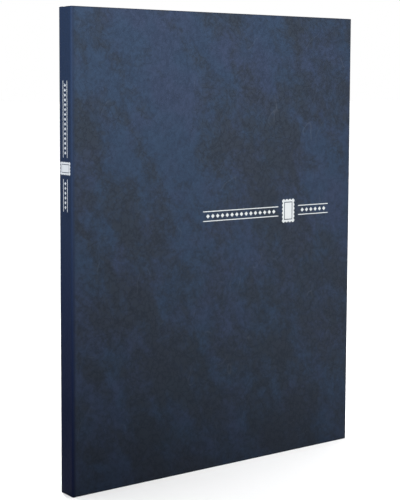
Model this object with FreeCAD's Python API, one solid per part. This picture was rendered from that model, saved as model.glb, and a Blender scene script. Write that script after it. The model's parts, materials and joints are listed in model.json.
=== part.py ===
import FreeCAD, Part
import math
import os

# Casebound stamp album, standing closed on its tail edge, in millimetres.
# +Z runs from tail to head, the spine is at -X and the front cover at -Y.
# The origin is the centre of the footprint, on the surface that the album stands on.

# Case
case_height = 263.0
case_width = 200.0
case_thickness = 13.0
board = 2.0                 # greyboard of each cover
spine_board = 1.5           # stiffener inside the spine
covering = 0.25             # leatherette paper glued round the boards
endpaper = 0.15             # paper pasted inside each cover
turn_in = 14.0              # covering folded over onto the inside of a board
edge_radius = 0.4           # softened fore edge of a covered board

# Joint between the spine and a cover
fold_radius = 0.8           # outer radius of the fold along the spine
fold_opening = 20.0         # degrees of the fold, each side of its middle, left free to bend
groove_start = 1.0          # spine face to the pressed groove
groove_radius = 2.6
groove_angle = 22.0         # degrees of each of the groove's flanks
board_inset = 5.2           # spine face to the edge of a cover board

# Block of leaves
square = 3.0                # how far the case stands past the leaves
leaf_count = 8
leaf_pitch = 0.96
card = 0.4                  # black card of a leaf
linen = 0.12                # hinge cloth
linen_fork = 0.08           # hinge cloth glued on each face of the card
glassine = 0.05             # translucent interleaf
corner_radius = 3.0         # rounded fore-edge corners of leaves and interleaves
interleaf_recess = 1.0      # interleaf short of the leaves at the fore edge

# Clear pocket strips on both faces of a leaf
strip_count = 7
strip_pitch = 35.0
strip_height = 31.0
strip_first = 6.0           # tail of the leaf to the lowest strip
strip_margin = 5.0          # strip ends short of the fore edge
strip_inset = 2.4           # strip starts past the hinge cloth
film = 0.06
pocket = 0.04               # gap behind the film where a stamp slides in
weld = 2.0                  # bonded lower edge of a strip

# Binding edge
guard_width = 7.0           # card strips that the leaves are bound between
block_half = 3.6            # half of the block's thickness at the binding edge
lining = 0.3                # cloth glued along the back of the block
hinge_gap = 0.35            # guards to the free part of the hinge cloth
hinge_strip = 8.0           # free hinge cloth before the card starts
fork_length = 6.0           # hinge cloth glued on the card
staple_count = 3
staple_spacing = 86.0
staple_crown = 12.0
staple_wire = 0.6
staple_flat = 0.22          # thickness of the flattened wire
clinch = 4.5                # bent-over end of a staple leg
band_radius = 0.7           # bead of the head and tail bands

# Foil ornament: a blank perforated stamp between two rows of lozenges
ornament_height = 147.3     # tail to the ornament's centre line on the cover
ornament_x = 50.5           # centre of the stamp on the cover
spine_ornament_z = 177.5
spine_ornament_scale = 0.73
stamp_width = 9.6
stamp_height = 14.0
stamp_frame = 1.6
stamp_frame_line = 0.5
tooth_pitch = 2.4
tooth_radius = 0.62
rule_gap = 3.0              # stamp to the nearest end of a rule
long_rule = 56.0
short_rule = 24.0
rule_height = 0.5
rule_spacing = 6.0          # between the outer edges of a pair of rules
lozenge_half = 1.25
lozenge_pitch = 3.5
foil = 0.05
foil_depth = 0.07           # how far the stamping presses the covering in

spine_x = -case_width / 2
fore_x = case_width / 2
front_y = -case_thickness / 2
inner_y = front_y + board + 2 * covering        # inner face of a turned-in edge
board_x = spine_x + board_inset
leaf_tail = square
leaf_head = case_height - square
spine_inner_x = spine_x + spine_board + 2 * covering
guard_start_x = spine_inner_x + lining
guard_end_x = guard_start_x + guard_width
cloth_x = guard_end_x + hinge_gap
card_x = cloth_x + hinge_strip
leaf_end_x = fore_x - square


def vector(x, y, z=0.0):
    return FreeCAD.Vector(x, y, z)


def box(x0, x1, y0, y1, z0, z1):
    return Part.makeBox(x1 - x0, y1 - y0, z1 - z0, vector(x0, y0, z0))


def joined(shapes):
    whole = shapes[0]
    for shape in shapes[1:]:
        whole = whole.fuse(shape)
    return whole.removeSplitter()


def mirrored(shape):
    return shape.mirror(vector(0, 0), vector(0, 1))


def line(x0, y0, x1, y1):
    return Part.makeLine(vector(x0, y0), vector(x1, y1))


def arc(x, y, radius, start, end):
    points = []
    for angle in (start, (start + end) / 2, end):
        turn = math.radians(angle)
        points.append(vector(x + radius * math.cos(turn), y + radius * math.sin(turn)))
    return Part.Arc(*points).toShape()


def prism(edges, z0, z1):
    wire = Part.Wire(Part.__sortEdges__(edges))
    face = Part.Face(wire)
    face.translate(vector(0, 0, z0))
    return face.extrude(vector(0, 0, z1 - z0))


def joint_path(depth):
    """From the fold to the flat over the board, at a depth under the outer surface."""
    flank = math.radians(groove_angle)
    reach = 2 * groove_radius * math.sin(flank)
    drop = 2 * groove_radius * (1 - math.cos(flank))
    fold_x = spine_x + fold_radius
    groove_x = spine_x + groove_start
    inside = groove_radius - depth
    outside = groove_radius + depth
    middle_y = front_y + groove_radius
    return [
        arc(fold_x, front_y + fold_radius, fold_radius - depth, 225 + fold_opening, 270),
        line(fold_x, front_y + depth, groove_x, front_y + depth),
        arc(groove_x, middle_y, inside, 270, 270 + groove_angle),
        arc(groove_x + reach, front_y + drop - groove_radius, outside, 90 + groove_angle, 90 - groove_angle),
        arc(groove_x + 2 * reach, middle_y, inside, 270 - groove_angle, 270),
        line(groove_x + 2 * reach, front_y + depth, board_x, front_y + depth),
    ]


def joint_strip(depth, z0, z1):
    """One layer of covering across the joint, from a depth under the outer surface."""
    outer = joint_path(depth)
    inner = joint_path(depth + covering)
    start = Part.makeLine(outer[0].Vertexes[0].Point, inner[0].Vertexes[0].Point)
    end = line(board_x, front_y + depth, board_x, front_y + depth + covering)
    return prism(outer + inner + [start, end], z0, z1)


# Covers

def cover_board():
    return box(board_x, fore_x - covering, front_y + covering, inner_y - covering,
               covering, case_height - covering)


def cover_wrapped_body():
    """Everything inside the covering's outer surface, from the board's edge to the fore edge."""
    edge_x = fore_x - edge_radius
    low_y = front_y + edge_radius
    high_y = inner_y - edge_radius
    edges = [
        line(board_x, front_y, edge_x, front_y),
        arc(edge_x, low_y, edge_radius, 270, 360),
        line(fore_x, low_y, fore_x, high_y),
        arc(edge_x, high_y, edge_radius, 0, 90),
        line(edge_x, inner_y, board_x, inner_y),
        line(board_x, inner_y, board_x, front_y),
    ]
    return prism(edges, 0, case_height)


def cover_window():
    """The inner face of a board that the turned-in covering leaves bare."""
    return box(board_x - 1, fore_x - turn_in, inner_y - covering, inner_y + 1,
               turn_in, case_height - turn_in)


def cover_skin():
    panel = cover_wrapped_body().cut(cover_board()).cut(cover_window())
    layers = [
        panel,
        joint_strip(0, 0, case_height),
        joint_strip(covering, 0, turn_in),
        joint_strip(covering, case_height - turn_in, case_height),
    ]
    return joined(layers)


def cover_endpaper():
    """The pasted sheet beds down onto the board between the turned-in edges."""
    sheet = box(guard_start_x, leaf_end_x, inner_y, inner_y + endpaper, leaf_tail, leaf_head)
    bed = box(board_x, fore_x - turn_in, inner_y - covering, inner_y + endpaper,
              turn_in, case_height - turn_in)
    return joined([sheet, bed])


# Spine

def spine_skin():
    half = case_thickness / 2
    centre_x = spine_x + fold_radius
    centre_y = half - fold_radius
    bend = 45 - fold_opening
    edges = []
    for depth in (0, covering):
        radius = fold_radius - depth
        edges.append(arc(centre_x, -centre_y, radius, 180 + bend, 180))
        edges.append(line(spine_x + depth, -centre_y, spine_x + depth, centre_y))
        edges.append(arc(centre_x, centre_y, radius, 180, 180 - bend))
    for side in (-1, 1):
        turn = math.radians(180 - side * bend)
        across = math.cos(turn)
        along = math.sin(turn)
        inner = fold_radius - covering
        edges.append(line(centre_x + fold_radius * across, side * centre_y + fold_radius * along,
                          centre_x + inner * across, side * centre_y + inner * along))
    layers = [prism(edges, 0, case_height)]
    for z0, z1, turn_z0, turn_z1 in (
        (0, covering, 0, turn_in),
        (case_height - covering, case_height, case_height - turn_in, case_height),
    ):
        layers.append(box(spine_x + covering / 2, spine_inner_x, -centre_y, centre_y, z0, z1))
        layers.append(box(spine_inner_x - covering, spine_inner_x, -centre_y, centre_y, turn_z0, turn_z1))
    return joined(layers)


def spine_stiffener():
    half = case_thickness / 2 - fold_radius
    return box(spine_x + covering, spine_inner_x - covering, -half, half, covering, case_height - covering)


def spine_lining():
    strip = box(spine_inner_x, guard_start_x, -block_half, block_half, leaf_tail, leaf_head)
    bed = box(spine_inner_x - covering, guard_start_x, -block_half, block_half,
              turn_in, case_height - turn_in)
    return joined([strip, bed])


def end_band(z):
    start = vector(guard_start_x + band_radius, -block_half, z)
    return Part.makeCylinder(band_radius, 2 * block_half, start, vector(0, 1))


def staples():
    """Flat-wire staples driven through the binding edge, with their ends bent over at the back."""
    middle_x = (guard_start_x + guard_end_x) / 2
    x0 = middle_x - staple_wire / 2
    x1 = middle_x + staple_wire / 2
    front = -block_half - staple_flat
    back = block_half + staple_flat
    wires = []
    for index in range(staple_count):
        middle_z = case_height / 2 + (index - (staple_count - 1) / 2) * staple_spacing
        parts = [box(x0, x1, front, -block_half, middle_z - staple_crown / 2, middle_z + staple_crown / 2)]
        for side in (-1, 1):
            outer = middle_z + side * staple_crown / 2
            inner = outer - side * staple_wire
            tip = outer - side * clinch
            parts.append(box(x0, x1, front, back, min(outer, inner), max(outer, inner)))
            parts.append(box(x0, x1, block_half, back, min(outer, tip), max(outer, tip)))
        wires.append(joined(parts))
    return Part.Compound(wires)


def bound_sheets():
    """Middle and half thickness of every sheet held at the binding edge, front to back."""
    sheets = []
    for index in range(2 * leaf_count - 1):
        half = linen / 2 if index % 2 == 0 else glassine / 2
        sheets.append(((index - (leaf_count - 1)) * leaf_pitch / 2, half))
    return sheets


def binding_slices(spans, wires):
    slices = []
    for y0, y1 in spans:
        strip = box(guard_start_x, guard_end_x, y0, y1, leaf_tail, leaf_head)
        slices.extend(strip.cut(wires).Solids)
    return Part.Compound(slices)


def guard_strips(wires):
    faces = [-block_half]
    for middle, half in bound_sheets():
        faces.extend([middle - half, middle + half])
    faces.append(block_half)
    spans = list(zip(faces[0::2], faces[1::2]))
    return binding_slices(spans, wires)


def bound_edges(first, wires):
    spans = []
    for middle, half in bound_sheets()[first::2]:
        spans.append((middle - half, middle + half))
    return binding_slices(spans, wires)


# Leaves

def rounded_sheet(x0, x1, y, half):
    sheet = box(x0, x1, y - half, y + half, leaf_tail, leaf_head)
    corners = []
    for edge in sheet.Edges:
        ends = [vertex.Point for vertex in edge.Vertexes]
        if all(abs(point.x - x1) < 1e-6 for point in ends) and abs(ends[0].z - ends[1].z) < 1e-6:
            corners.append(edge)
    return sheet.makeFillet(corner_radius, corners)


def leaf_cloth(y):
    strip = box(cloth_x, card_x, y - linen / 2, y + linen / 2, leaf_tail, leaf_head)
    outer = card / 2 + linen_fork
    fork = box(card_x - linen_fork, card_x + fork_length, y - outer, y + outer, leaf_tail, leaf_head)
    slot = box(card_x, card_x + fork_length + 1, y - card / 2, y + card / 2, leaf_tail - 1, leaf_head + 1)
    return joined([strip, fork.cut(slot)])


def leaf_strips(y, side):
    """Clear film pockets on one face: side -1 faces the front cover."""
    face = y + side * card / 2
    inner = face + side * pocket
    outer = inner + side * film
    x0 = card_x + fork_length + strip_inset
    x1 = leaf_end_x - strip_margin
    strips = []
    for row in range(strip_count):
        z0 = leaf_tail + strip_first + row * strip_pitch
        sheet = box(x0, x1, min(inner, outer), max(inner, outer), z0, z0 + strip_height)
        bond = box(x0, x1, min(face, inner), max(face, inner), z0, z0 + weld)
        strips.append(joined([sheet, bond]))
    return Part.Compound(strips)


# Foil ornament, drawn flat: u along the rules, v upwards, the stamp's middle at 0, 0

def plate(u0, u1, v0, v1, thickness):
    return Part.makeBox(u1 - u0, v1 - v0, thickness, vector(u0, v0))


def blank_stamp(thickness):
    half_u = stamp_width / 2
    half_v = stamp_height / 2
    frame_u = half_u - stamp_frame
    frame_v = half_v - stamp_frame
    line_u = frame_u - stamp_frame_line
    line_v = frame_v - stamp_frame_line
    rim = plate(-half_u, half_u, -half_v, half_v, thickness)
    rim = rim.cut(plate(-frame_u, frame_u, -frame_v, frame_v, thickness))
    teeth = []
    across = round(stamp_width / tooth_pitch)
    along = round(stamp_height / tooth_pitch)
    for index in range(across + 1):
        for v in (-half_v, half_v):
            teeth.append((-half_u + index * stamp_width / across, v))
    for index in range(1, along):
        for u in (-half_u, half_u):
            teeth.append((u, -half_v + index * stamp_height / along))
    for u, v in teeth:
        rim = rim.cut(Part.makeCylinder(tooth_radius, thickness, vector(u, v)))
    return rim.Solids + [plate(-line_u, line_u, -line_v, line_v, thickness)]


def lozenge(u, thickness):
    right = vector(u + lozenge_half, 0)
    top = vector(u, lozenge_half)
    left = vector(u - lozenge_half, 0)
    bottom = vector(u, -lozenge_half)
    outline = Part.makePolygon([right, top, left, bottom, right])
    return Part.Face(outline).extrude(vector(0, 0, thickness))


def lozenge_rule(u0, u1, thickness):
    outer = rule_spacing / 2
    pieces = [
        plate(u0, u1, -outer, -outer + rule_height, thickness),
        plate(u0, u1, outer - rule_height, outer, thickness),
    ]
    count = int((u1 - u0) / lozenge_pitch)
    for index in range(count):
        pieces.append(lozenge((u0 + u1) / 2 + (index - (count - 1) / 2) * lozenge_pitch, thickness))
    return pieces


def ornament(thickness):
    near = stamp_width / 2 + rule_gap
    pieces = blank_stamp(thickness)
    pieces += lozenge_rule(-near - long_rule, -near, thickness)
    pieces += lozenge_rule(near, near + short_rule, thickness)
    return pieces


def placed_ornament(thickness, scale, placement):
    solids = []
    for piece in ornament(thickness / scale):
        solid = piece.copy()
        solid.scale(scale)
        solid.Placement = placement.multiply(solid.Placement)
        solids.append(solid)
    return solids


def placement(origin, u_axis, v_axis):
    normal = u_axis.cross(v_axis)
    rotation = FreeCAD.Rotation(u_axis, v_axis, normal, "XYZ")
    return FreeCAD.Placement(origin, rotation)


def cover_ornament(thickness):
    """The foil lies on the bottom of the pressed recess, so it sits just under the surface."""
    origin = vector(ornament_x, front_y + foil_depth, ornament_height)
    upright = placement(origin, vector(1, 0), vector(0, 0, 1))
    return placed_ornament(thickness, 1.0, upright)


def spine_ornament(thickness):
    origin = vector(spine_x + foil_depth, 0, spine_ornament_z)
    across_spine = placement(origin, vector(0, 0, -1), vector(0, -1))
    return placed_ornament(thickness, spine_ornament_scale, across_spine)


def stamped(skin, recess):
    for solid in recess:
        skin = skin.cut(solid)
    return skin


def build():
    wires = staples()
    skin = cover_skin()
    nodes = {
        "front_board": cover_board(),
        "front_covering": stamped(skin, cover_ornament(2 * foil_depth)),
        "front_endpaper": cover_endpaper(),
        "cover_foil": Part.Compound(cover_ornament(foil)),
        "back_board": mirrored(cover_board()),
        "back_covering": mirrored(skin),
        "back_endpaper": mirrored(cover_endpaper()),
        "spine_board": spine_stiffener(),
        "spine_covering": stamped(spine_skin(), spine_ornament(2 * foil_depth)),
        "spine_foil": Part.Compound(spine_ornament(foil)),
        "spine_lining": spine_lining(),
        "head_band": end_band(leaf_head + band_radius),
        "tail_band": end_band(leaf_tail - band_radius),
        "guard_strips": guard_strips(wires),
        "bound_cloth_edges": bound_edges(0, wires),
        "bound_interleaf_edges": bound_edges(1, wires),
        "binding_staples": wires,
    }
    for index in range(leaf_count):
        y = (index - (leaf_count - 1) / 2) * leaf_pitch
        name = f"leaf_{index + 1}"
        nodes[f"{name}_card"] = rounded_sheet(card_x, leaf_end_x, y, card / 2)
        nodes[f"{name}_hinge_cloth"] = leaf_cloth(y)
        nodes[f"{name}_front_strips"] = leaf_strips(y, -1)
        nodes[f"{name}_back_strips"] = leaf_strips(y, 1)
    for index in range(leaf_count - 1):
        y = (index + 1 - leaf_count / 2) * leaf_pitch
        nodes[f"interleaf_{index + 1}"] = rounded_sheet(
            cloth_x, leaf_end_x - interleaf_recess, y, glassine / 2)
    return nodes


os.makedirs("parts", exist_ok=True)
for node, shape in build().items():
    shape.exportStep(os.path.join("parts", node + ".step"))
    print(node, len(shape.Solids), "solids", round(shape.Volume, 2), "mm3")
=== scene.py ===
import bpy
import json
import math
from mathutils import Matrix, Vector, noise


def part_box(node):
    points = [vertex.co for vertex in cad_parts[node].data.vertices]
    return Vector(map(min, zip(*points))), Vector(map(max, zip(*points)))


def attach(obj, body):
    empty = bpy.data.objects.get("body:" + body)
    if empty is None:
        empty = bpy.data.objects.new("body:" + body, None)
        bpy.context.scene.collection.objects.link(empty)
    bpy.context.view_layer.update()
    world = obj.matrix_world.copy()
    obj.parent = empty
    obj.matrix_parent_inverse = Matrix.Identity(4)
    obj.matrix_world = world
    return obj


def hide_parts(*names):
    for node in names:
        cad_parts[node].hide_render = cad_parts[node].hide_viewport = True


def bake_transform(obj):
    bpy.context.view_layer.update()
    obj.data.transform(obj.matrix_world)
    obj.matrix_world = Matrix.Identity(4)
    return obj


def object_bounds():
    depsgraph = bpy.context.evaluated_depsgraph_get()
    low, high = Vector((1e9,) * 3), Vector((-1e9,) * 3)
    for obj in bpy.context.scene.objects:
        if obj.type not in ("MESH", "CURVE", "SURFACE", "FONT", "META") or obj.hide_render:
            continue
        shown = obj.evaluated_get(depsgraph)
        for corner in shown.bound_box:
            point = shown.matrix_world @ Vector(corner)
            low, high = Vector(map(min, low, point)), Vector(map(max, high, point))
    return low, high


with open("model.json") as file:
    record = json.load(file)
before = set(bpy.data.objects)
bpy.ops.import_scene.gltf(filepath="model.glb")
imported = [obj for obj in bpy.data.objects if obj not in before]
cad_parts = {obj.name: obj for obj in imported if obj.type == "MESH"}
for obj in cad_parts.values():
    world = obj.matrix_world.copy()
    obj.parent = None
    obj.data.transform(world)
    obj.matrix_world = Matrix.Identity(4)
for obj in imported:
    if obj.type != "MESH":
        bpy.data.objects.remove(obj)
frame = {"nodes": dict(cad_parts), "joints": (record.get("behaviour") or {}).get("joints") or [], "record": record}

cadLow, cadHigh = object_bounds()       # the CAD box, before anything is added
scene = bpy.context.scene
record = frame["record"]
mm = 0.001
tiny = 1e-7
creaseAngle = math.radians(50)      # edges sharper than this stay crisp
leafCount = sum(1 for node in frame["nodes"] if node.endswith("_card"))
spineX, foreX = cadLow.x, cadHigh.x
frontY = cadLow.y
caseTail, caseHead = cadLow.z, cadHigh.z


# Meshes

def addMesh(name, points, faces, smooth=True):
    mesh = bpy.data.meshes.new(name)
    mesh.from_pydata(points, [], faces)
    for polygon in mesh.polygons:
        polygon.use_smooth = smooth
    piece = bpy.data.objects.new(name, mesh)
    scene.collection.objects.link(piece)
    return piece


# A pattern that reads this stays on the surface when the piece bends.
def keepRestPlace(piece):
    place = piece.data.attributes.new("restPlace", "FLOAT_VECTOR", "POINT")
    place.data.foreach_set("vector", [value for vertex in piece.data.vertices for value in vertex.co])


def arcPoints(x, y, radius, start, end, steps):
    points = []
    for step in range(steps + 1):
        turn = math.radians(start + (end - start) * step / steps)
        points.append((x + radius * math.cos(turn), y + radius * math.sin(turn)))
    return points


def linePoints(start, end, steps):
    return [tuple(Vector(start).lerp(Vector(end), step / steps)) for step in range(steps + 1)]


def spaced(start, end, steps):
    return [point[0] for point in linePoints((start, 0), (end, 0), steps)]


def withoutRepeats(path):
    kept = []
    for point in path:
        if not kept or (Vector(point[:2]) - Vector(kept[-1][:2])).length > tiny:
            kept.append(point)
    if (Vector(kept[0][:2]) - Vector(kept[-1][:2])).length < tiny:
        kept.pop()
    return kept


# Stands a closed outline upright between tail and head, with rounded rims.
# Each outline point is (x, y, rim), anticlockwise as seen from the head.
def standOutline(name, outline, tail, head, rows, rimSteps=3, shift=None):
    outline = withoutRepeats(outline)
    count = len(outline)
    normals = []
    for index in range(count):
        before, here, after = (Vector(outline[(index + step) % count][:2]) for step in (-1, 0, 1))
        along = ((here - before).normalized() + (after - here).normalized()).normalized()
        normal = Vector((along.y, -along.x))
        if abs(here.y) < tiny and abs(normal.y) > 0.1:
            normal = Vector((math.copysign(1, normal.x), 0))      # two halves meet here without a notch
        normals.append(normal)
    levels = []         # base height, share of the rim up from it, share of the rim inwards
    for step in range(rimSteps + 1):
        turn = math.pi / 2 * step / rimSteps
        levels.append((tail, 1 - math.cos(turn), 1 - math.sin(turn)))
    levels += [(tail + (head - tail) * row / rows, 0, 0) for row in range(1, rows)]
    for step in range(rimSteps, -1, -1):
        turn = math.pi / 2 * step / rimSteps
        levels.append((head, math.cos(turn) - 1, 1 - math.sin(turn)))
    points = []
    for base, up, inwards in levels:
        for (x, y, rim), normal in zip(outline, normals):
            flat = Vector((x, y)) - normal * rim * inwards
            point = Vector((flat.x, flat.y, base + rim * up))
            points.append(point + shift(point) if shift else point)
    faces = []
    for level in range(len(levels) - 1):
        low, high = level * count, (level + 1) * count
        for index in range(count):
            other = (index + 1) % count
            faces.append((low + index, low + other, high + other, high + index))
    faces.append(tuple(reversed(range(count))))
    faces.append(tuple(range(len(points) - count, len(points))))
    piece = addMesh(name, points, faces)
    piece.data.set_sharp_from_angle(angle=creaseAngle)
    return piece


def mirrored(outline):
    return [(x, -y, rim) for x, y, rim in reversed(outline)]


# Nodes

# Sockets are given by number or label, as a value or as another node's output.
def put(tree, kind, sockets=None, **settings):
    node = tree.nodes.new(kind)
    for key, value in settings.items():
        setattr(node, key, value)
    for key, value in (sockets or {}).items():
        if isinstance(value, bpy.types.NodeSocket):
            tree.links.new(value, node.inputs[key])
        else:
            node.inputs[key].default_value = value
    return node


def calc(tree, operation, first, second=0.0):
    return put(tree, "ShaderNodeMath", {0: first, 1: second}, operation=operation).outputs[0]


def spread(tree, value, low, high, toLow=0.0, toHigh=1.0):
    sockets = {"Value": value, "From Min": low, "From Max": high, "To Min": toLow, "To Max": toHigh}
    return put(tree, "ShaderNodeMapRange", sockets, interpolation_type="SMOOTHSTEP").outputs[0]


def times(tree, first, second):
    return calc(tree, "MULTIPLY", first, second)


def weighed(tree, parts):
    total = None
    for value, weight in parts:
        part = times(tree, value, weight)
        total = part if total is None else calc(tree, "ADD", total, part)
    return total


def shifted(tree, operation, first, second):
    return put(tree, "ShaderNodeVectorMath", {0: first, 1: second}, operation=operation).outputs[0]


def scaled(tree, vector, amount):
    return put(tree, "ShaderNodeVectorMath", {0: vector, "Scale": amount}, operation="SCALE").outputs[0]


def mixColour(tree, share, first, second):
    return put(tree, "ShaderNodeMix", {0: share, 6: first, 7: second}, data_type="RGBA").outputs[2]


def noiseAt(tree, place, scale, detail=3.0, roughness=0.55, output=0):
    sockets = {"Vector": place, "Scale": scale, "Detail": detail, "Roughness": roughness}
    return put(tree, "ShaderNodeTexNoise", sockets).outputs[output]


def turnedPlace(tree, place, scale, rotation=(0, 0, 0)):
    turned = [math.radians(angle) for angle in rotation]
    stretch = [1 / value for value in scale]
    sockets = {0: place, "Rotation": turned, "Scale": stretch}
    return put(tree, "ShaderNodeMapping", sockets, vector_type="TEXTURE").outputs[0]


def newTree(name, kind, inputs, outputs):
    tree = bpy.data.node_groups.new(name, kind)
    for label, socketType, value in inputs:
        socket = tree.interface.new_socket(label, in_out="INPUT", socket_type=socketType)
        if value is not None:
            socket.default_value = value
    for label, socketType in outputs:
        tree.interface.new_socket(label, in_out="OUTPUT", socket_type=socketType)
    return tree, tree.nodes.new("NodeGroupInput").outputs, tree.nodes.new("NodeGroupOutput")


vectorSocket, floatSocket, intSocket = "NodeSocketVector", "NodeSocketFloat", "NodeSocketInt"


dyeForm = {
    "drift": {"scale": 45.0, "reach": 0.015},      # bends the clouds' outlines
    "lean": {"stretch": (1.45, 1.45, 0.68), "turn": (0, -32, 0)},
    "weights": {"wide": 0.42, "broad": 0.32, "specks": 0.13, "coarse": 0.13},
    "clouds": (0.44, 0.60),                        # where the dark dye starts and is full
    "mottle": (0.36, 0.64),
    "veins": {"scale": 230.0, "shake": 420.0, "reach": 0.006, "width": 0.14},
    "scratches": {"stretch": (30, 30, 17), "turn": (0, 20, 0), "width": 0.004},
    "scratched": {"scale": 60.0, "range": (0.53, 0.63)},        # scratches show in rare spots only
}


# Clouds, specks, veins and scratches of a mottled dyed leatherette. Place is in metres.
def cloudyDyeGroup():
    tree, given, out = newTree(
        "cloudyDye", "ShaderNodeTree",
        [("Place", vectorSocket, None), ("Cloud Scale", floatSocket, 50.0),
         ("Speck Scale", floatSocket, 520.0), ("Cover", floatSocket, 0.0)],
        [(label, floatSocket) for label in ("Clouds", "Mottle", "Veins", "Scratches")])
    sheet = given["Place"]
    form = dyeForm["drift"]
    drift = noiseAt(tree, sheet, form["scale"], 3.0, output=1)
    drift = shifted(tree, "SUBTRACT", drift, (0.5, 0.5, 0.5))
    place = shifted(tree, "ADD", sheet, scaled(tree, drift, form["reach"]))

    leaning = turnedPlace(tree, place, dyeForm["lean"]["stretch"], dyeForm["lean"]["turn"])
    layers = {
        "wide": noiseAt(tree, leaning, given["Cloud Scale"], 5.0, 0.56),
        "broad": noiseAt(tree, leaning, times(tree, given["Cloud Scale"], 0.4), 2.0, 0.5),
        "specks": noiseAt(tree, sheet, given["Speck Scale"], 4.0, 0.68),
        "coarse": noiseAt(tree, place, times(tree, given["Speck Scale"], 0.35), 3.0, 0.6),
    }
    clouds = weighed(tree, [(layers[name], weight) for name, weight in dyeForm["weights"].items()])
    clouds = calc(tree, "ADD", clouds, given["Cover"])
    tree.links.new(spread(tree, clouds, *dyeForm["clouds"]), out.inputs["Clouds"])
    mottle = weighed(tree, [(layers["specks"], 0.6), (layers["coarse"], 0.4)])
    tree.links.new(spread(tree, mottle, *dyeForm["mottle"]), out.inputs["Mottle"])

    form = dyeForm["veins"]
    shake = scaled(tree, noiseAt(tree, sheet, form["shake"], 3.0, output=1), form["reach"])
    sockets = {"Vector": shifted(tree, "ADD", place, shake), "Scale": form["scale"]}
    cells = put(tree, "ShaderNodeTexVoronoi", sockets, feature="DISTANCE_TO_EDGE")
    veins = spread(tree, cells.outputs["Distance"], 0.0, form["width"], 1.0, 0.0)
    tree.links.new(veins, out.inputs["Veins"])

    form = dyeForm["scratches"]
    drawn = noiseAt(tree, turnedPlace(tree, sheet, form["stretch"], form["turn"]), 1.0, 2.0)
    offLine = calc(tree, "ABSOLUTE", calc(tree, "SUBTRACT", drawn, 0.5))
    line = spread(tree, offLine, 0.0, form["width"], 1.0, 0.0)
    form = dyeForm["scratched"]
    rare = spread(tree, noiseAt(tree, sheet, form["scale"], 2.0), *form["range"])
    tree.links.new(times(tree, line, rare), out.inputs["Scratches"])
    return tree


# Pebbled or fibrous relief, as a height from 0 to 1.
def fineGrainGroup():
    tree, given, out = newTree(
        "fineGrain", "ShaderNodeTree",
        [("Place", vectorSocket, None), ("Scale", floatSocket, 900.0), ("Pebble", floatSocket, 0.6)],
        [("Height", floatSocket)])
    cells = put(tree, "ShaderNodeTexVoronoi", {"Vector": given["Place"], "Scale": given["Scale"]})
    fibre = noiseAt(tree, given["Place"], times(tree, given["Scale"], 1.7), 4.0, 0.6)
    pebble = times(tree, calc(tree, "SUBTRACT", 1.0, cells.outputs["Distance"]), given["Pebble"])
    rest = times(tree, fibre, calc(tree, "SUBTRACT", 1.0, given["Pebble"]))
    tree.links.new(calc(tree, "ADD", pebble, rest), out.inputs["Height"])
    return tree


# Plain weave in the X-Z plane. Threads per metre set the pitch.
def plainWeaveGroup():
    tree, given, out = newTree(
        "plainWeave", "ShaderNodeTree",
        [("Place", vectorSocket, None), ("Threads", floatSocket, 1600.0)],
        [("Height", floatSocket), ("Slub", floatSocket)])
    apart = put(tree, "ShaderNodeSeparateXYZ", {0: given["Place"]}).outputs
    turns = times(tree, given["Threads"], math.pi)
    across = calc(tree, "SINE", times(tree, apart[0], turns))
    along = calc(tree, "SINE", times(tree, apart[2], turns))
    crowns = calc(tree, "ADD", calc(tree, "ABSOLUTE", across), calc(tree, "ABSOLUTE", along))
    tree.links.new(weighed(tree, [(crowns, 0.35), (times(tree, across, along), 0.3)]), out.inputs["Height"])
    slub = turnedPlace(tree, given["Place"], (220, 220, 1400))
    tree.links.new(spread(tree, noiseAt(tree, slub, 1.0, 2.0), 0.4, 0.7), out.inputs["Slub"])
    return tree


cloudyDye, fineGrain, plainWeave = cloudyDyeGroup(), fineGrainGroup(), plainWeaveGroup()


# Materials

def newMaterial(name, surface):
    material = bpy.data.materials.new(name)
    material.use_nodes = True
    tree = material.node_tree
    shader = tree.nodes["Principled BSDF"]
    for key, value in surface.items():
        shader.inputs[key].default_value = value
    return material, tree, shader


# A piece that bends carries its pattern in an attribute.
def placeOf(tree, bends):
    if bends:
        return put(tree, "ShaderNodeAttribute", attribute_name="restPlace").outputs["Vector"]
    return put(tree, "ShaderNodeTexCoord").outputs["Object"]


def placed(tree, group, **sockets):
    return put(tree, "ShaderNodeGroup", sockets, node_tree=group).outputs


def relief(tree, shader, height, depth):
    bump = put(tree, "ShaderNodeBump", {"Height": height, "Distance": depth, "Strength": 1.0})
    tree.links.new(bump.outputs[0], shader.inputs["Normal"])


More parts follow.
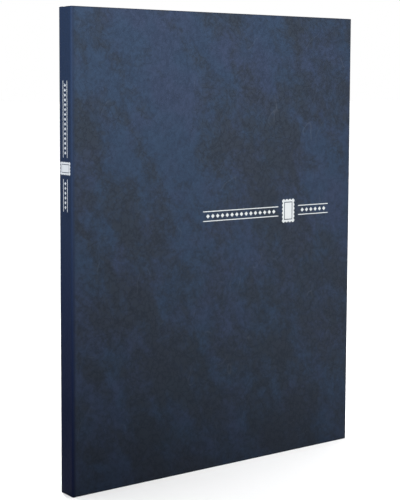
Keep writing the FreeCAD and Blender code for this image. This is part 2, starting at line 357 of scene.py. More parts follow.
leatherette = {
    "navy": (0.0128, 0.0208, 0.0362, 1),
    "violetNavy": (0.0147, 0.0203, 0.0362, 1),
    "deepNavy": (0.0090, 0.0132, 0.0228, 1),
    "umber": (0.0116, 0.0140, 0.0176, 1),
    # painted shade: the spine's navy and its near-black foot stand in for the dimmer light on the spine and at its
    # foot
    "spineShadedNavy": (0.0102, 0.0182, 0.0402, 1),
    "spineFootShade": (0.0020, 0.0038, 0.0195, 1),
    "vein": (0.0058, 0.0074, 0.0112, 1),
    "scratch": (0.0380, 0.0460, 0.0600, 1),
    "roughness": (0.44, 0.6),
    "sheen": 0.01,
    "grain": {"Scale": 1100.0, "Pebble": 0.55},
    "grainDepth": 0.05 * mm,
    "veinDepth": 0.9,                  # share of the grain's depth
    "sheetCut": (4.1, 1.3, 0.9),       # where on the dyed sheet this covering was cut
    # from and to along the cover, then the amount at each of them
    "cloudierTail": (0.02, 0.22, 0.038, -0.016),
    "cloudierFore": (-0.1, 0.1, -0.012, 0.024),
    # painted shade: the cover darkens towards the tail
    "shadedTail": (0.0, 0.06, 0.22, 0.0),
    "clearerSpine": 0.05,
    "turn": {"scale": 42.0, "range": (0.36, 0.64)},     # drift from navy to violet navy
    "shares": {"mottle": 0.6, "clouds": 0.76, "scratches": 0.24, "pressed": 0.55},
    "veinShare": (0.15, 0.3),          # everywhere, and more in the clouds
    "pressed": (0.1 * mm, 0.9 * mm),   # darker line along the head, tail and fore edge
    "spineWidth": (0.1 * mm, 2.4 * mm),
    "spineShadeFade": (0.0, 0.2),           # from the foot's near-black painted shade up to the spine's darker navy
    "spineShadeShares": {"dye": 0.95, "clouds": 0.2},
    # painted shade along the fold, holding back the highlight line the light makes there
    "fold": {"place": 1.0 * mm, "width": 1.3 * mm, "share": 0.4},
}


def leatheretteMaterial():
    dyes = leatherette
    material, tree, shader = newMaterial("navyLeatherette", {"Specular IOR Level": dyes["sheen"]})
    place = placeOf(tree, True)
    sheet = shifted(tree, "ADD", place, dyes["sheetCut"])
    x, y, z = put(tree, "ShaderNodeSeparateXYZ", {0: place}).outputs

    def tinted(base, share, colour):
        return mixColour(tree, share, base, dyes[colour])

    near, far = dyes["spineWidth"]
    atSpine = spread(tree, x, spineX + near, spineX + far, 1.0, 0.0)
    towardsTail = spread(tree, z, *dyes["cloudierTail"])
    towardsFore = spread(tree, x, *dyes["cloudierFore"])
    cover = calc(tree, "ADD", towardsTail, towardsFore)
    cover = calc(tree, "SUBTRACT", cover, times(tree, atSpine, dyes["clearerSpine"]))
    dye = placed(tree, cloudyDye, Place=sheet, Cover=cover)
    clouds, shares = dye["Clouds"], dyes["shares"]
    turn = spread(tree, noiseAt(tree, sheet, dyes["turn"]["scale"], 2.0), *dyes["turn"]["range"])
    base = mixColour(tree, turn, dyes["navy"], dyes["violetNavy"])
    base = tinted(base, times(tree, dye["Mottle"], shares["mottle"]), "deepNavy")
    base = tinted(base, times(tree, clouds, shares["clouds"]), "umber")
    plain, clouded = dyes["veinShare"]
    veinShare = calc(tree, "ADD", times(tree, clouds, clouded), plain)
    base = tinted(base, times(tree, dye["Veins"], veinShare), "vein")
    base = tinted(base, times(tree, dye["Scratches"], shares["scratches"]), "scratch")

    # painted shade: the spine gets a darker, bluer navy that darkens to near black at the foot, and the fold
    # beside it gets painted shade too
    shares = dyes["spineShadeShares"]
    spineShadeDye = mixColour(tree, spread(tree, z, *dyes["spineShadeFade"]), dyes["spineFootShade"], dyes["spineShadedNavy"])
    spineShadeDye = tinted(spineShadeDye, times(tree, clouds, shares["clouds"]), "deepNavy")
    base = mixColour(tree, times(tree, atSpine, shares["dye"]), base, spineShadeDye)
    # painted shade along the fold beside the spine
    fold = dyes["fold"]
    fromFold = calc(tree, "ABSOLUTE", calc(tree, "SUBTRACT", x, spineX + fold["place"]))
    base = tinted(base, spread(tree, fromFold, 0.0, fold["width"], fold["share"], 0.0), "vein")

    # a darker line along the head, tail and fore edge
    near, far = dyes["pressed"]
    atHead = spread(tree, z, caseHead - far, caseHead - near)
    atTail = spread(tree, z, near, far, 1.0, 0.0)
    atFore = spread(tree, x, foreX - far, foreX - near)
    atEdge = calc(tree, "MAXIMUM", calc(tree, "MAXIMUM", atHead, atTail), atFore)
    base = tinted(base, times(tree, atEdge, dyes["shares"]["pressed"]), "vein")
    # painted shade, darker towards the tail
    base = tinted(base, spread(tree, z, *dyes["shadedTail"]), "vein")
    tree.links.new(base, shader.inputs["Base Color"])
    tree.links.new(spread(tree, clouds, 0.0, 1.0, *dyes["roughness"]), shader.inputs["Roughness"])
    grain = placed(tree, fineGrain, Place=place, **dyes["grain"])["Height"]
    height = calc(tree, "SUBTRACT", grain, times(tree, dye["Veins"], dyes["veinDepth"]))
    relief(tree, shader, height, dyes["grainDepth"])
    return material


def paperMaterial(name, bends, colours, roughness, scale, depth, sheet=None):
    material, tree, shader = newMaterial(name, {"Specular IOR Level": 0.3, **(sheet or {})})
    place = placeOf(tree, bends)
    fibre = noiseAt(tree, place, scale, 5.0, 0.65)
    long = turnedPlace(tree, place, (scale * 3, scale * 3, scale * 0.9))
    flecks = spread(tree, noiseAt(tree, long, 1.0, 2.0), 0.58, 0.7)
    colour = mixColour(tree, spread(tree, fibre, 0.3, 0.7), colours[0], colours[1])
    colour = mixColour(tree, times(tree, flecks, 0.35), colour, colours[2])
    tree.links.new(colour, shader.inputs["Base Color"])
    rough = spread(tree, fibre, 0.2, 0.8, roughness - 0.08, roughness + 0.06)
    tree.links.new(rough, shader.inputs["Roughness"])
    height = placed(tree, fineGrain, Place=place, Scale=scale * 4, Pebble=0.15)["Height"]
    relief(tree, shader, height, depth)
    return material


def clothMaterial(name, bends, dark, light, threads, depth):
    material, tree, shader = newMaterial(name, {"Specular IOR Level": 0.25, "Sheen Weight": 0.25})
    weave = placed(tree, plainWeave, Place=placeOf(tree, bends), Threads=threads)
    share = weighed(tree, [(weave["Height"], 0.7), (weave["Slub"], 0.3)])
    tree.links.new(mixColour(tree, share, dark, light), shader.inputs["Base Color"])
    tree.links.new(spread(tree, weave["Slub"], 0.0, 1.0, 0.92, 0.78), shader.inputs["Roughness"])
    relief(tree, shader, weave["Height"], depth)
    return material


clearFilm = {
    "surface": {"Transmission Weight": 1.0, "IOR": 1.46, "Base Color": (0.97, 0.985, 1.0, 1)},
    "smear": (0.03, 0.09),
    "bondHaze": 0.4,
    "ripple": 0.12 * mm,
}


def filmMaterial():
    material, tree, shader = newMaterial("clearFilm", clearFilm["surface"])
    bond = put(tree, "ShaderNodeAttribute", attribute_name="bond").outputs["Fac"]
    haze = noiseAt(tree, placeOf(tree, False), 900.0, 3.0)
    smear = spread(tree, haze, 0.3, 0.7, *clearFilm["smear"])
    rough = calc(tree, "ADD", smear, times(tree, bond, clearFilm["bondHaze"]))
    tree.links.new(rough, shader.inputs["Roughness"])
    ripple = noiseAt(tree, turnedPlace(tree, placeOf(tree, False), (25, 25, 140)), 1.0, 2.0)
    relief(tree, shader, ripple, clearFilm["ripple"])
    return material


def foilMaterial(name, white, rubbed):
    material, tree, shader = newMaterial(name, {"Specular IOR Level": 0.4})
    place = placeOf(tree, False)
    worn = spread(tree, noiseAt(tree, place, 2600.0, 3.0, 0.7), 0.64, 0.78)
    tree.links.new(mixColour(tree, worn, white, rubbed), shader.inputs["Base Color"])
    tree.links.new(spread(tree, noiseAt(tree, place, 700.0), 0.3, 0.7, 0.34, 0.5), shader.inputs["Roughness"])
    grain = placed(tree, fineGrain, Place=place, **leatherette["grain"])["Height"]
    relief(tree, shader, grain, 0.02 * mm)
    return material


bandThread = {
    "pale": [(0.50, 0.49, 0.45, 1), (0.74, 0.73, 0.69, 1)],
    "navy": [(0.012, 0.020, 0.055, 1), (0.030, 0.045, 0.110, 1)],
    "roughness": (0.5, 0.75),
    "depth": 0.05 * mm,
}


def bandMaterial():
    material, tree, shader = newMaterial("bandThread", {"Specular IOR Level": 0.35, "Sheen Weight": 0.3})
    stripe = put(tree, "ShaderNodeAttribute", attribute_name="stripe").outputs["Fac"]
    twist = turnedPlace(tree, placeOf(tree, False), (9000, 2500, 9000), (0, 0, 25))
    fibre = noiseAt(tree, twist, 1.0, 3.0)
    pale = mixColour(tree, fibre, *bandThread["pale"])
    navy = mixColour(tree, fibre, *bandThread["navy"])
    tree.links.new(mixColour(tree, stripe, navy, pale), shader.inputs["Base Color"])
    tree.links.new(spread(tree, fibre, 0.2, 0.8, *bandThread["roughness"]), shader.inputs["Roughness"])
    relief(tree, shader, fibre, bandThread["depth"])
    return material


stapleWire = {"steel": [(0.42, 0.42, 0.43, 1), (0.66, 0.66, 0.67, 1)], "roughness": (0.25, 0.45)}


def wireMaterial():
    material, tree, shader = newMaterial("stapleWire", {"Metallic": 1.0})
    drawn = noiseAt(tree, turnedPlace(tree, placeOf(tree, False), (8000, 8000, 500)), 1.0, 3.0)
    tree.links.new(mixColour(tree, drawn, *stapleWire["steel"]), shader.inputs["Base Color"])
    tree.links.new(spread(tree, drawn, 0.2, 0.8, *stapleWire["roughness"]), shader.inputs["Roughness"])
    return material


skin = leatheretteMaterial()
film = filmMaterial()
# painted light: the one white foil gets two tones, paler on the spine than on the cover, to make up for the dimmer
# light on the spine
coverWhite = foilMaterial("coverWhite", (0.225, 0.237, 0.242, 1), (0.12, 0.14, 0.17, 1))
spineWhite = foilMaterial("spineWhite", (0.33, 0.355, 0.385, 1), (0.17, 0.20, 0.25, 1))
thread = bandMaterial()
wire = wireMaterial()
greyboard = paperMaterial(
    "greyboard", False, [(0.27, 0.26, 0.24, 1), (0.36, 0.35, 0.32, 1), (0.17, 0.15, 0.13, 1)],
    0.9, 500.0, 0.08 * mm)
blackCard = paperMaterial(
    "blackCard", False, [(0.010, 0.010, 0.011, 1), (0.017, 0.017, 0.018, 1), (0.035, 0.035, 0.036, 1)],
    0.82, 420.0, 0.03 * mm)
blackEndpaper = paperMaterial(
    "blackEndpaper", True, [(0.016, 0.017, 0.020, 1), (0.024, 0.025, 0.029, 1), (0.05, 0.05, 0.055, 1)],
    0.8, 300.0, 0.03 * mm)
glassinePaper = paperMaterial(
    "glassine", True, [(0.60, 0.60, 0.57, 1), (0.68, 0.68, 0.65, 1), (0.50, 0.50, 0.47, 1)],
    0.34, 160.0, 0.02 * mm, {"Alpha": 0.62, "Coat Weight": 0.25, "Coat Roughness": 0.2})
hingeCloth = clothMaterial(
    "hingeCloth", True, (0.008, 0.008, 0.009, 1), (0.035, 0.035, 0.038, 1), 1700.0, 0.05 * mm)
liningCloth = clothMaterial(
    "liningCloth", False, (0.38, 0.36, 0.31, 1), (0.66, 0.64, 0.58, 1), 1300.0, 0.08 * mm)
print("materials made")


# Camera, light and floor

cameraView = {
    "place": (-0.4457, -0.5837, 0.2209),
    "turn": -36.676,
    "dip": 4.812,
    "roll": -0.235,
    "lens": 91.604,
    "rise": -0.1116,
}
studio = {
    "floor": [(0.955, 0.955, 0.96, 1), (0.93, 0.93, 0.93, 1)],
    "brightSide": (0.98, 0.2, 0),           # the pale backdrop stands on this side
    "air": (0.2, 1.0),                      # strength of the surroundings, far side and bright side
    "airTurn": (-0.6, 0.45),                # where the one turns into the other
    "top": {"power": 2.0, "spread": 70},
    "reach": 15.0,                          # half of the floor's width
}
spotLights = {
    "keyLight": {"place": (-0.6, -1.09, 0.6), "aim": (0, 0, 0.325), "power": 268, "cone": 30, "size": 0.12},
    "lowLight": {"place": (0.55, -0.9, 0.1), "aim": (0.115, 0, 0.035), "power": 33, "cone": 14, "size": 0.1},
    "backLight": {"place": (0.4, 1.25, 0.55), "aim": (0, 0, 0.14), "power": 230, "cone": 26, "size": 0.2},
}


def addCamera():
    data = bpy.data.cameras.new("albumCamera")
    data.lens = cameraView["lens"]
    data.shift_y = cameraView["rise"]
    camera = bpy.data.objects.new("albumCamera", data)
    camera.location = cameraView["place"]
    tilt = (90 - cameraView["dip"], cameraView["roll"], cameraView["turn"])
    camera.rotation_euler = [math.radians(angle) for angle in tilt]
    scene.collection.objects.link(camera)
    scene.camera = camera


def addSpot(name, values):
    data = bpy.data.lights.new(name, "SPOT")
    data.energy = values["power"]
    data.spot_size = math.radians(values["cone"])
    data.spot_blend = 1.0
    data.shadow_soft_size = values["size"]
    lamp = bpy.data.objects.new(name, data)
    lamp.location = values["place"]
    lamp.rotation_euler = (Vector(values["aim"]) - lamp.location).to_track_quat("-Z", "Y").to_euler()
    lamp.visible_camera = False
    scene.collection.objects.link(lamp)


def addStudio():
    world = bpy.data.worlds.new("paleStudio")
    scene.world = world
    world.use_nodes = True
    tree = world.node_tree
    way = put(tree, "ShaderNodeTexCoord").outputs["Generated"]
    facing = put(tree, "ShaderNodeVectorMath", {0: way, 1: studio["brightSide"]}, operation="DOT_PRODUCT")
    air = spread(tree, facing.outputs["Value"], *studio["airTurn"], *studio["air"])
    tree.links.new(air, tree.nodes["Background"].inputs["Strength"])
    tree.nodes["Background"].inputs["Color"].default_value = (1, 1, 1, 1)
    above = bpy.data.lights.new("topLight", "SUN")
    above.energy = studio["top"]["power"]
    above.angle = math.radians(studio["top"]["spread"])
    scene.collection.objects.link(bpy.data.objects.new("topLight", above))
    for name, values in spotLights.items():
        addSpot(name, values)
    reach = studio["reach"]
    corners = [(-reach, -reach, 0), (reach, -reach, 0), (reach, reach, 0), (-reach, reach, 0)]
    floor = addMesh("floor", corners, [(0, 1, 2, 3)])
    material, tree, shader = newMaterial("paleFloor", {"Specular IOR Level": 0.1, "Roughness": 0.9})
    tint = noiseAt(tree, placeOf(tree, False), 3.0, 2.0)
    tree.links.new(mixColour(tree, tint, *studio["floor"]), shader.inputs["Base Color"])
    floor.data.materials.append(material)


addCamera()
addStudio()
scene.view_settings.view_transform = "Standard"
print("camera, light and floor placed")


# Covering

coverForm = {
    "foldRadius": 1.2 * mm,
    "joint": 0.5 * mm,           # thickness of the doubled covering across the joint
    "grooveStart": 1.4 * mm,
    "grooveRadius": 6.2 * mm,
    "grooveAngle": 8,
    "foreRadius": 0.5 * mm,
    "boardRim": 0.32 * mm,
    "jointRim": 0.14 * mm,
    "afterGroove": 0.6 * mm,     # flat stretch before the cover's face is divided evenly
    "boardGap": 0.2 * mm,        # between the joint and the inside of the board's edge
    "spineCorner": 1.52 * mm,    # inner corner behind the fold, from the cover's face
    "wave": 0.07 * mm,           # gentle unevenness of the covered board
    "waveScale": 22,
    "waveFade": 10 * mm,
    "blendStart": (0.2 * mm, 0.6 * mm),     # from the spine's face, and in from the cover's face
    "blendStep": (0.22 * mm, 0.44 * mm),
    "rows": 66,
}
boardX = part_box("front_board")[0].x
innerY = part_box("front_covering")[1].y
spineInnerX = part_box("spine_covering")[1].x


def boardWave(x, z, side):
    scale = coverForm["waveScale"]
    swell = noise.noise(Vector((x * scale, side * 3.0, z * scale)))
    fade = min(1.0, max(0.0, (x - boardX) / coverForm["waveFade"]))
    return coverForm["wave"] * swell * fade


def groovePoints(depth):
    radius, angle = coverForm["grooveRadius"], coverForm["grooveAngle"]
    flank = math.radians(angle)
    reach = 2 * radius * math.sin(flank)
    drop = 2 * radius * (1 - math.cos(flank))
    x = spineX + coverForm["grooveStart"]
    return (arcPoints(x, frontY + radius, radius - depth, 270, 270 + angle, 5)
            + arcPoints(x + reach, frontY + drop - radius, radius + depth, 90 + angle, 90 - angle, 8)
            + arcPoints(x + 2 * reach, frontY + radius, radius - depth, 270 - angle, 270, 5))


def coverOutline():
    fold, thick, fore = coverForm["foldRadius"], coverForm["joint"], coverForm["foreRadius"]
    foldY = frontY + fold
    outerFold = arcPoints(spineX + fold, foldY, fold, 180, 270, 12)
    innerFold = arcPoints(spineX + fold, foldY, fold - thick, 270, 180, 6)
    groove = groovePoints(0)
    faceStart = groove[-1][0] + coverForm["afterGroove"]
    stretches = [
        (linePoints((spineX, 0), (spineX, foldY), 6), "boardRim"),
        (outerFold + groove, "jointRim"),
        (linePoints((faceStart, frontY), (foreX - fore, frontY), 48), "boardRim"),
        (arcPoints(foreX - fore, frontY + fore, fore, 270, 360, 4), "boardRim"),
        (arcPoints(foreX - fore, innerY - fore, fore, 0, 90, 4), "boardRim"),
        (linePoints((foreX - fore, innerY), (boardX, innerY), 24), "boardRim"),
        ([(boardX, frontY + thick + coverForm["boardGap"])], "jointRim"),
        (list(reversed(groovePoints(thick))) + innerFold, "jointRim"),
        ([(spineInnerX, frontY + coverForm["spineCorner"]), (spineInnerX, 0)], "boardRim"),
    ]
    return [(x, y, coverForm[rim]) for points, rim in stretches for x, y in points]


def addCover(name, side, nodes):
    outline = coverOutline()

    # only the outer face waves
    def settle(point):
        outside = abs(point.y) > abs(innerY) + 1 * mm
        return Vector((0, side * boardWave(point.x, point.z, side) if outside else 0, 0))

    if side > 0:
        outline = mirrored(outline)
    piece = standOutline(name, outline, caseTail, caseHead, coverForm["rows"], shift=settle)
    keepRestPlace(piece)
    piece.data.materials.append(skin)
    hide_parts(*nodes)
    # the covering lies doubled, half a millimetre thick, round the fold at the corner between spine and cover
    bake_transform(piece)
    return piece


addCover("frontLeatherette", -1, ["front_covering", "spine_covering", "spine_board"])
addCover("backLeatherette", 1, ["back_covering", "spine_covering", "spine_board"])
print("covering made")


# Endpapers

endpaperForm = {
    "gussetStart": 0.7 * mm,
    "gusset": 4.0 * mm,          # the free strip that turns with the cover
    "gussetColumns": 16,
    "afterGusset": (0.6 * mm, 2 * mm),      # end of the close columns, start of the wide ones
    "columns": 20,
    "rows": 8,
    "rim": 0.05 * mm,
}


def addEndpaper(name, node, side):
    low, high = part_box(node)
    faceY = min(abs(low.y), abs(high.y))
    backY = abs(innerY)
    form = endpaperForm
    bendStart = low.x + form["gussetStart"]
    bendEnd = bendStart + form["gusset"]
    near, far = form["afterGusset"]
    columns = spaced(low.x, bendEnd + near, form["gussetColumns"])
    columns += spaced(bendEnd + far, high.x, form["columns"])
    outline = [(x, -backY, form["rim"]) for x in columns]
    outline += [(x, -faceY, form["rim"]) for x in reversed(columns)]
    if side > 0:
        outline = mirrored(outline)
    piece = standOutline(name, outline, low.z, high.z, form["rows"], rimSteps=1)
    keepRestPlace(piece)
    piece.data.materials.append(blackEndpaper)
    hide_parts(node)
    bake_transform(piece)


addEndpaper("frontEndpaper", "front_endpaper", -1)
addEndpaper("backEndpaper", "back_endpaper", 1)
print("endpapers made")


# Leaves: hinge cloth and interleaves, with close columns beside the guards

hingeForm = {
    "blendStart": 0.1 * mm,      # this far before the hinge line
    "bendStart": 0.4 * mm,
    "bend": 2.4 * mm,
    "bendColumns": 10,
    "beforeCard": (0.1 * mm, 0.05 * mm),    # where the strip ends and its two flaps begin
    "columns": 6,
    "rows": 4,
    "half": 0.06 * mm,           # half of the cloth's thickness
    "rim": 0.02 * mm,
}
jointPlace = {joint["child"]: Vector(joint["pos_m"]) for joint in frame["joints"]}


def bendColumns(body, start, end, count):
    hingeX = jointPlace[body].x
    bend = hingeForm["bend"]
    columns = [start] + spaced(hingeX - hingeForm["bendStart"], hingeX + bend, hingeForm["bendColumns"])
    return columns + spaced(hingeX + bend, end, count)[1:]


def bendAtGuards(piece):
    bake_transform(piece)


def addHingeCloth(index):
    body = f"leaf_{index}"
    clothLow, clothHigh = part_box(f"{body}_hinge_cloth")
    cardLow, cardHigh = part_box(f"{body}_card")
    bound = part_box("bound_cloth_edges")[0].x
    middle = (cardLow.y + cardHigh.y) / 2
    inner = (cardHigh.y - cardLow.y) / 2
    outer = (clothHigh.y - clothLow.y) / 2
    rim = hingeForm["rim"]
    stripGap, flapGap = hingeForm["beforeCard"]
    columns = bendColumns(body, bound, cardLow.x - stripGap, hingeForm["columns"])
    lower = [(x, middle - hingeForm["half"], rim) for x in columns]
    lower += [(cardLow.x - flapGap, middle - outer, rim), (clothHigh.x, middle - outer, rim)]
    lower += [(clothHigh.x, middle - inner, rim), (cardLow.x, middle - inner, rim)]
    upper = [(x, 2 * middle - y, rim) for x, y, rim in reversed(lower)]
    outline = lower + upper
    name = f"leaf{index}HingeCloth"
    piece = standOutline(name, outline, clothLow.z, clothHigh.z, hingeForm["rows"], rimSteps=1)
    keepRestPlace(piece)
    piece.data.materials.append(hingeCloth)
    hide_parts(f"{body}_hinge_cloth", "bound_cloth_edges")
    bendAtGuards(piece)


# A thin sheet with rounded fore-edge corners, made of columns of points.
def addSheet(name, columns, tail, head, middle, half, corner, rows, wave):
    points, faces = [], []
    end = columns[-1]
    for x in columns:
        cut = 0.0
        if x > end - corner:
            cut = corner - math.sqrt(max(0.0, corner ** 2 - (x - end + corner) ** 2))
        for row in range(rows + 1):
            z = tail + cut + (head - tail - 2 * cut) * row / rows
            lift = wave(x, z)
            points.append((x, middle + lift - half, z))
            points.append((x, middle + lift + half, z))
    stride = 2 * (rows + 1)
    for column in range(len(columns) - 1):
        for row in range(rows):
            near = column * stride + 2 * row
            far = near + stride
            faces.append((near, far, far + 2, near + 2))
            faces.append((near + 1, near + 3, far + 3, far + 1))
        near, far = column * stride, (column + 1) * stride
        faces.append((near, near + 1, far + 1, far))
        near, far = near + 2 * rows, far + 2 * rows
        faces.append((near, far, far + 1, near + 1))
    for row in range(rows):
        near = 2 * row
        faces.append((near, near + 2, near + 3, near + 1))
        far = (len(columns) - 1) * stride + 2 * row
        faces.append((far, far + 1, far + 3, far + 2))
    return addMesh(name, points, faces)


interleafForm = {
    "corner": 3.0 * mm,
    "wave": 0.05 * mm,
    "waveScale": (26, 18),
    "waveFade": 30 * mm,
    "columns": 30,
    "cornerColumns": 8,
    "rows": 40,
}


def addInterleaf(index):
    body = f"interleaf_{index}"
    low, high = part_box(body)
    middle, half = (low.y + high.y) / 2, (high.y - low.y) / 2
    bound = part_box("bound_interleaf_edges")[0].x
    corner = interleafForm["corner"]
    columns = bendColumns(body, bound, high.x - corner, interleafForm["columns"])
    steps = interleafForm["cornerColumns"]
    for step in range(1, steps + 1):
        columns.append(high.x - corner + corner * math.sin(math.pi / 2 * step / steps))

    def wave(x, z):
        free = min(1.0, max(0.0, (x - jointPlace[body].x) / interleafForm["waveFade"]))
        across, up = interleafForm["waveScale"]
        return interleafForm["wave"] * free * noise.noise(Vector((x * across, index * 5.0, z * up)))

    name, rows = f"interleaf{index}", interleafForm["rows"]
    piece = addSheet(name, columns, low.z, high.z, middle, half, corner, rows, wave)
    keepRestPlace(piece)
    piece.data.materials.append(glassinePaper)
    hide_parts(body, "bound_interleaf_edges")
    bendAtGuards(piece)


for number in range(1, leafCount + 1):
    addHingeCloth(number)
for number in range(1, leafCount):
    addInterleaf(number)
print("hinge cloth and interleaves made")


# Pieces that repeat, grown by Geometry Nodes and turned into plain meshes

def growPiece(name, tree, values):
    holder = bpy.data.objects.new(name, bpy.data.meshes.new(name))
    scene.collection.objects.link(holder)
    grower = holder.modifiers.new("grower", "NODES")
    grower.node_group = tree
    for item in tree.interface.items_tree:
        if item.item_type == "SOCKET" and item.in_out == "INPUT" and item.name in values:
            grower[item.identifier] = values[item.name]
    holder.update_tag()
    depsgraph = bpy.context.evaluated_depsgraph_get()
    grown = bpy.data.meshes.new_from_object(holder.evaluated_get(depsgraph))
    holder.modifiers.remove(grower)
    holder.data = grown
    grown.name = name
    return holder


def finishTree(tree, geometry, material, out):
    solid = put(tree, "GeometryNodeRealizeInstances", {0: geometry}).outputs[0]
    dressed = put(tree, "GeometryNodeSetMaterial", {0: solid, "Material": material}).outputs[0]
    tree.links.new(dressed, out.inputs[0])


def copiedOn(tree, line, block, **turned):
    sockets = {"Points": line, "Instance": block, **turned}
    return put(tree, "GeometryNodeInstanceOnPoints", sockets).outputs[0]


def marked(tree, copies, name, value):
    sockets = {"Geometry": copies, "Name": name, "Value": value}
    kind = "GeometryNodeStoreNamedAttribute"
    return put(tree, kind, sockets, data_type="FLOAT", domain="INSTANCE").outputs[0]


def pointRow(tree, count, start, step):
    sockets = {"Count": count, "Start Location": start, "Offset": step}
    return put(tree, "GeometryNodeMeshLine", sockets).outputs[0]


stripForm = {
    "rows": 7,
    "columns": 9,                # points along a row's length
    "filmHeight": 31.0 * mm,
    "bondHeight": 2.0 * mm,
    "film": 0.06 * mm,
    "pocket": 0.04 * mm,
}


# Rows of film, each with its bonded lower edge.
def stripRowsTree():
    tree, given, out = newTree(
        "stripRows", "GeometryNodeTree",
        [("Rows", intSocket, 7), ("Pitch", floatSocket, 0.035), ("Lowest", vectorSocket, None),
         ("Film Size", vectorSocket, None), ("Bond Offset", vectorSocket, None),
         ("Bond Size", vectorSocket, None), ("Material", "NodeSocketMaterial", None)],
        [("Geometry", "NodeSocketGeometry")])
    step = put(tree, "ShaderNodeCombineXYZ", {2: given["Pitch"]}).outputs[0]
    layers = []
    for size, offset, bond in (("Film Size", None, 0.0), ("Bond Size", "Bond Offset", 1.0)):
        start = given["Lowest"]
        if offset:
            start = shifted(tree, "ADD", start, given[offset])
        rows = pointRow(tree, given["Rows"], start, step)
        sockets = {"Size": given[size], "Vertices X": stripForm["columns"]}
        block = put(tree, "GeometryNodeMeshCube", sockets).outputs["Mesh"]
        layers.append(marked(tree, copiedOn(tree, rows, block), "bond", bond))
    both = put(tree, "GeometryNodeJoinGeometry")
    for layer in layers:
        tree.links.new(layer, both.inputs[0])
    finishTree(tree, both.outputs[0], given["Material"], out)
    return tree


def addStrips(index, face, side, tree):
    node = f"leaf_{index}_{face}_strips"
    low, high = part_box(node)
    cardLow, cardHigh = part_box(f"leaf_{index}_card")
    cardFace = cardHigh.y if side > 0 else cardLow.y
    height, bondHeight = stripForm["filmHeight"], stripForm["bondHeight"]
    pitch = (high.z - low.z - height) / (stripForm["rows"] - 1)
    filmY = cardFace + side * (stripForm["pocket"] + stripForm["film"] / 2)
    bondShift = side * (stripForm["film"] + stripForm["pocket"]) / 2
    piece = growPiece(f"leaf{index}{face.capitalize()}Strips", tree, {
        "Rows": stripForm["rows"],
        "Pitch": pitch,
        "Lowest": ((low.x + high.x) / 2, filmY, low.z + height / 2),
        "Film Size": (high.x - low.x, stripForm["film"], height),
        "Bond Offset": (0, -bondShift, -height / 2 + bondHeight / 2),
        "Bond Size": (high.x - low.x, stripForm["pocket"], bondHeight),
        "Material": film,
    })
    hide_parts(node)
    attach(piece, f"leaf_{index}")


stripRows = stripRowsTree()
for number in range(1, leafCount + 1):
    addStrips(number, "front", -1, stripRows)
    addStrips(number, "back", 1, stripRows)
print("clear strips made")


bandForm = {
    "thread": 0.16 * mm,
    "overlap": 0.92,
    "slant": 4,
    "beadSteps": 20,
    "threadSteps": 8,
    "stripe": 3.0,               # turns of each colour
}


# Turns of thread round the bead of a head or tail band.
def woundBandTree():
    tree, given, out = newTree(
        "woundBand", "GeometryNodeTree",
        [("Turns", intSocket, 24), ("Start", vectorSocket, None), ("Step", vectorSocket, None),
         ("Bead Radius", floatSocket, 0.0005), ("Thread Radius", floatSocket, 0.00018),
         ("Material", "NodeSocketMaterial", None)],
        [("Geometry", "NodeSocketGeometry")])

    def circle(steps, radius):
        sockets = {"Resolution": steps, "Radius": given[radius]}
        return put(tree, "GeometryNodeCurvePrimitiveCircle", sockets).outputs[0]

    bead = circle(bandForm["beadSteps"], "Bead Radius")
    profile = circle(bandForm["threadSteps"], "Thread Radius")
    turn = put(tree, "GeometryNodeCurveToMesh", {"Curve": bead, "Profile Curve": profile}).outputs[0]
    turn = put(tree, "GeometryNodeSetShadeSmooth", {0: turn}).outputs[0]
    line = pointRow(tree, given["Turns"], given["Start"], given["Step"])
    copies = copiedOn(tree, line, turn, Rotation=(math.pi / 2, 0, math.radians(bandForm["slant"])))
    index = put(tree, "GeometryNodeInputIndex").outputs[0]
    stripe = bandForm["stripe"]
    stripe = calc(tree, "LESS_THAN", calc(tree, "MODULO", index, 2 * stripe), stripe)
    finishTree(tree, marked(tree, copies, "stripe", stripe), given["Material"], out)
    return tree


def addBand(name, node, tree):
    low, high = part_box(node)
    threadRadius = bandForm["thread"]
    bead = (high.x - low.x) / 2 - threadRadius
    length = high.y - low.y - 2 * threadRadius
    turns = round(length / (2 * threadRadius * bandForm["overlap"])) + 1
    centre = (low + high) / 2
    piece = growPiece(name, tree, {
        "Turns": turns,
        "Start": (centre.x, low.y + threadRadius, centre.z),
        "Step": (0, length / (turns - 1), 0),
        "Bead Radius": bead,
        "Thread Radius": threadRadius,
        "Material": thread,
    })
    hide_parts(node)
    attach(piece, "spine")


woundBand = woundBandTree()
addBand("headBand", "head_band", woundBand)
addBand("tailBand", "tail_band", woundBand)
print("head and tail bands made")


# Foil ornament

foilForm = {
    "proud": 0.03 * mm,
    "sunk": 0.03 * mm,
    "stampWidth": 9.6 * mm,
    "stampHeight": 14.0 * mm,
    "frame": 1.6 * mm,
    "frameLine": 0.5 * mm,
    "toothPitch": 2.4 * mm,
    "toothRadius": 0.62 * mm,
    "ruleGap": 3.0 * mm,
    "longRule": 56.0 * mm,
    "shortRule": 24.0 * mm,
    "ruleHeight": 0.5 * mm,
    "ruleSpacing": 6.0 * mm,
    "lozenge": 1.25 * mm,
    "lozengePitch": 3.5 * mm,
}


def rectangle(left, right, bottom, top):
    return [(left, bottom), (right, bottom), (right, top), (left, top)]


# A stamp's outline, going round anticlockwise with a half-round bite at every tooth pitch.
def stampOutline(width, height, radius):
    corners = rectangle(-width / 2, width / 2, -height / 2, height / 2)
    points = []
    for index, corner in enumerate(corners):
        start, end = Vector(corner), Vector(corners[(index + 1) % 4])
        along = (end - start).normalized()
        inside = Vector((-along.y, along.x))
        bites = round((end - start).length / foilForm["toothPitch"])
        for bite in range(bites):
            middle = start.lerp(end, bite / bites)
            for step in range(4 if bite == 0 else 0, 9):
                turn = math.pi * step / 8
                points.append(middle + (inside * math.sin(turn) - along * math.cos(turn)) * radius)
    return [(point.x, point.y) for point in points]


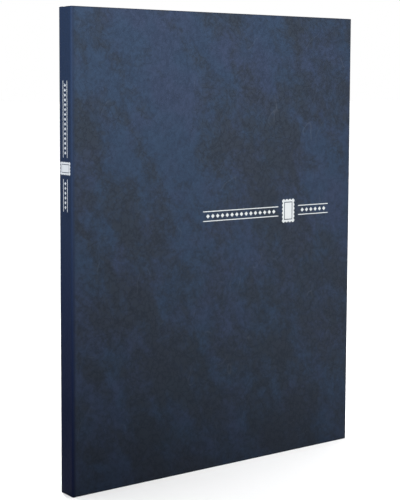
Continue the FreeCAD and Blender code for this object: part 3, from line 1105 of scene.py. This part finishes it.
def ornamentShapes():
    form = foilForm
    width, height, frameWidth = form["stampWidth"], form["stampHeight"], form["frame"]
    windowU, windowV = width / 2 - frameWidth, height / 2 - frameWidth
    plateU, plateV = windowU - form["frameLine"], windowV - form["frameLine"]
    shapes = [
        stampOutline(width, height, form["toothRadius"]),
        rectangle(-windowU, windowU, -windowV, windowV),
        rectangle(-plateU, plateU, -plateV, plateV),
    ]
    near = width / 2 + form["ruleGap"]
    outer = form["ruleSpacing"] / 2
    for left, right in ((-near - form["longRule"], -near), (near, near + form["shortRule"])):
        shapes.append(rectangle(left, right, -outer, -outer + form["ruleHeight"]))
        shapes.append(rectangle(left, right, outer - form["ruleHeight"], outer))
        count = int((right - left) / form["lozengePitch"])
        for index in range(count):
            u = (left + right) / 2 + (index - (count - 1) / 2) * form["lozengePitch"]
            half = form["lozenge"]
            shapes.append([(u + half, 0), (u, half), (u - half, 0), (u, -half)])
    return shapes


# Draws the ornament flat, then places it with its own across and up directions.
def addFoil(name, node, body, foil, scale, origin, across, up, lift):
    flat = bpy.data.curves.new(name, "CURVE")
    flat.dimensions = "2D"
    flat.fill_mode = "BOTH"
    thickness = foilForm["proud"] + foilForm["sunk"]
    flat.extrude = thickness / 2 / scale
    for shape in ornamentShapes():
        spline = flat.splines.new("POLY")
        spline.points.add(len(shape) - 1)
        for point, (u, v) in zip(spline.points, shape):
            point.co = (u, v, 0, 1)
        spline.use_cyclic_u = True
    drawn = bpy.data.objects.new(name + "Drawn", flat)
    scene.collection.objects.link(drawn)
    depsgraph = bpy.context.evaluated_depsgraph_get()
    mesh = bpy.data.meshes.new_from_object(drawn.evaluated_get(depsgraph))
    bpy.data.objects.remove(drawn)
    outwards = across.cross(up)
    middle = foilForm["proud"] - thickness / 2
    for vertex in mesh.vertices:
        u, v, w = vertex.co
        place = origin + (across * u + up * v + outwards * w) * scale + outwards * middle
        vertex.co = place + lift(place)
    mesh.materials.clear()
    mesh.materials.append(foil)
    piece = bpy.data.objects.new(name, mesh)
    scene.collection.objects.link(piece)
    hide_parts(node)
    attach(piece, body)


# The stamp's centre lies this share of the way along the ornament.
reach = foilForm["stampWidth"] / 2 + foilForm["ruleGap"]
stampShare = (reach + foilForm["longRule"]) / (2 * reach + foilForm["longRule"] + foilForm["shortRule"])


def followCover(place):
    return Vector((0, -boardWave(place.x, place.z, -1), 0))


def stayFlat(place):
    return Vector((0, 0, 0))


low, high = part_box("cover_foil")
coverLength = high.x - low.x
centre = Vector((low.x + coverLength * stampShare, frontY, (low.z + high.z) / 2))
addFoil("coverFoil", "cover_foil", "front_cover", coverWhite, 1.0, centre,
        Vector((1, 0, 0)), Vector((0, 0, 1)), followCover)
low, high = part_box("spine_foil")
spineLength = high.z - low.z
centre = Vector((spineX, 0, high.z - spineLength * stampShare))
addFoil("spineFoil", "spine_foil", "spine", spineWhite, spineLength / coverLength, centre,
        Vector((0, 0, -1)), Vector((0, -1, 0)), stayFlat)
print("foil made")


# CAD pieces that keep their shape

def dress(node, material):
    for slot in frame["nodes"][node].material_slots:
        slot.material = material


finishes = {"greyboard": greyboard, "black_card": blackCard, "lining_cloth": liningCloth, "wire": wire}
for part in record["subparts"]:
    if part["material_slot"] in finishes and not frame["nodes"][part["node"]].hide_render:
        dress(part["node"], finishes[part["material_slot"]])
print("CAD pieces dressed")
